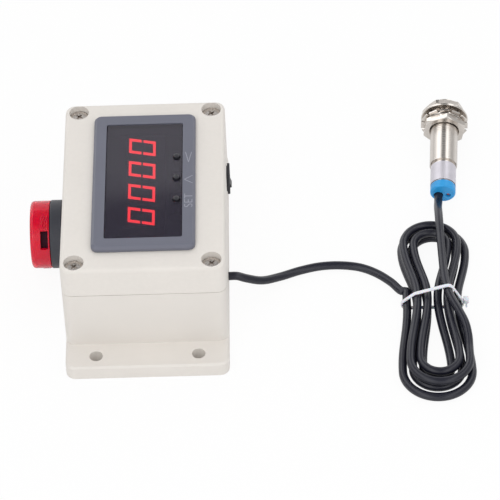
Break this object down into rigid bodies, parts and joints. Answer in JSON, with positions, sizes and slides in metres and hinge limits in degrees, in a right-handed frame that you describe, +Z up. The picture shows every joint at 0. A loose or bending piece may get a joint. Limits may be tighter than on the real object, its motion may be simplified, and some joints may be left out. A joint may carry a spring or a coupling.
{
  "type": "digital tachometer",
  "caption": "Wall box with a four-digit panel meter, keys, an alarm beacon and a rocker switch, wired by a hanked cable to a threaded proximity sensor with its nuts.",
  "frame": {"origin": "centre of the flat underside of the box, between its two mounting ears", "axes": "+Z up, out of the meter's face; +X towards the side with the rocker switch and the cable; +Y along the box, the way the sensor points"},
  "size_m": [0.1898, 0.1659, 0.0539],
  "materials": {
    "case_plastic": "fine-textured light warm grey ABS",
    "bezel_plastic": "satin blue-grey ABS",
    "window": "smoked acrylic, glossy",
    "black_plastic": "satin black plastic",
    "rubber": "black rubber",
    "nickel": "bright nickel plate",
    "lit_segment": "lit red light pipe",
    "board": "green solder mask",
    "chip": "moulded epoxy",
    "can": "drawn can",
    "terminal_plastic": "green nylon",
    "lens_red": "translucent red polycarbonate",
    "led_white": "clear epoxy",
    "brass": "plain",
    "battery_jacket": "plain dark jacket",
    "cable_jacket": "satin PVC",
    "wire_jacket": "PVC insulation",
    "tie_white": "white nylon",
    "cap_blue": "satin blue plastic",
    "label": "bare silver-white film",
    "ferrite": "ferrite and laminate"
  },
  "bodies": {
    "case": {"enclosure_base": "case_plastic", "enclosure_lid": "case_plastic", "lid_gasket": "rubber", "lid_screw_1": "nickel", "lid_screw_2": "nickel", "lid_screw_3": "nickel", "lid_screw_4": "nickel", "meter_housing": "bezel_plastic", "meter_window": "window", "meter_rear_cover": "black_plastic", "display_block": "black_plastic", "digit_1": "lit_segment", "digit_2": "lit_segment", "digit_3": "lit_segment", "digit_4": "lit_segment", "key_switch_1": "chip", "key_switch_2": "chip", "key_switch_3": "chip", "display_board": "board", "main_board": "board", "microcontroller": "chip", "capacitor": "can", "terminal_block": "terminal_plastic", "beacon_body": "black_plastic", "beacon_seal": "rubber", "beacon_nut": "black_plastic", "beacon_lens": "lens_red", "beacon_led_board": "board", "beacon_led": "led_white", "beacon_buzzer": "chip", "beacon_terminals": "brass", "switch_frame": "black_plastic", "switch_blade_1": "brass", "switch_blade_2": "brass", "battery": "battery_jacket", "battery_snap": "rubber", "sensor_wire": "wire_jacket", "switch_wire": "wire_jacket", "battery_wire": "wire_jacket", "beacon_wire": "wire_jacket", "cable_inside": "cable_jacket", "strain_tie": "tie_white", "cable_lead": "cable_jacket", "cable_hank": "cable_jacket", "cable_tail": "cable_jacket", "hank_tie": "tie_white", "sensor_cap": "cap_blue", "sensor_led": "lit_segment", "sensor_barrel": "nickel", "sensor_label": "label", "sensor_face": "cap_blue", "sensor_core": "ferrite"},
    "switch_rocker": {"switch_rocker": "black_plastic"},
    "key_1": {"key_1": "black_plastic"},
    "key_2": {"key_2": "black_plastic"},
    "key_3": {"key_3": "black_plastic"},
    "rear_carriage": {"sensor_washer_rear": "nickel"},
    "rear_nut": {"sensor_nut_rear": "nickel"},
    "front_carriage": {"sensor_washer_front": "nickel"},
    "front_nut": {"sensor_nut_front": "nickel"}
  },
  "joints": [
    {"name": "switch_rock", "type": "hinge", "parent": "case", "child": "switch_rocker", "pos_m": [0.0344, 0.0244, 0.0284], "axis": [0, 1, 0], "range_deg": [0, 22]},
    {"name": "key_1_press", "type": "slide", "parent": "case", "child": "key_1", "axis": [0, 0, -1], "range_m": [0, 0.0003], "stiffness_N_per_m": 800, "springref_m": -0.002},
    {"name": "key_2_press", "type": "slide", "parent": "case", "child": "key_2", "axis": [0, 0, -1], "range_m": [0, 0.0003], "stiffness_N_per_m": 800, "springref_m": -0.002},
    {"name": "key_3_press", "type": "slide", "parent": "case", "child": "key_3", "axis": [0, 0, -1], "range_m": [0, 0.0003], "stiffness_N_per_m": 800, "springref_m": -0.002},
    {"name": "nut_rear_travel", "type": "slide", "parent": "case", "child": "rear_carriage", "axis": [0.0623, 0.9909, 0.1194], "range_m": [-0.01501, 0.00001]},
    {"name": "nut_rear_turn", "type": "hinge", "parent": "rear_carriage", "child": "rear_nut", "pos_m": [0.1269, 0.0346, 0.00571], "axis": [0.0623, 0.9909, 0.1194], "range_deg": [-5400, 0]},
    {"name": "nut_front_travel", "type": "slide", "parent": "case", "child": "front_carriage", "axis": [0.0623, 0.9909, 0.1194], "range_m": [-0.00001, 0.00261]},
    {"name": "nut_front_turn", "type": "hinge", "parent": "front_carriage", "child": "front_nut", "pos_m": [0.1269, 0.0346, 0.00571], "axis": [0.0623, 0.9909, 0.1194], "range_deg": [0, 936]}
  ],
  "couplings": [
    {"joint": "nut_rear_travel", "follows": "nut_rear_turn", "m_per_rad": 0.00015915},
    {"joint": "nut_front_travel", "follows": "nut_front_turn", "m_per_rad": 0.00015915}
  ]
}
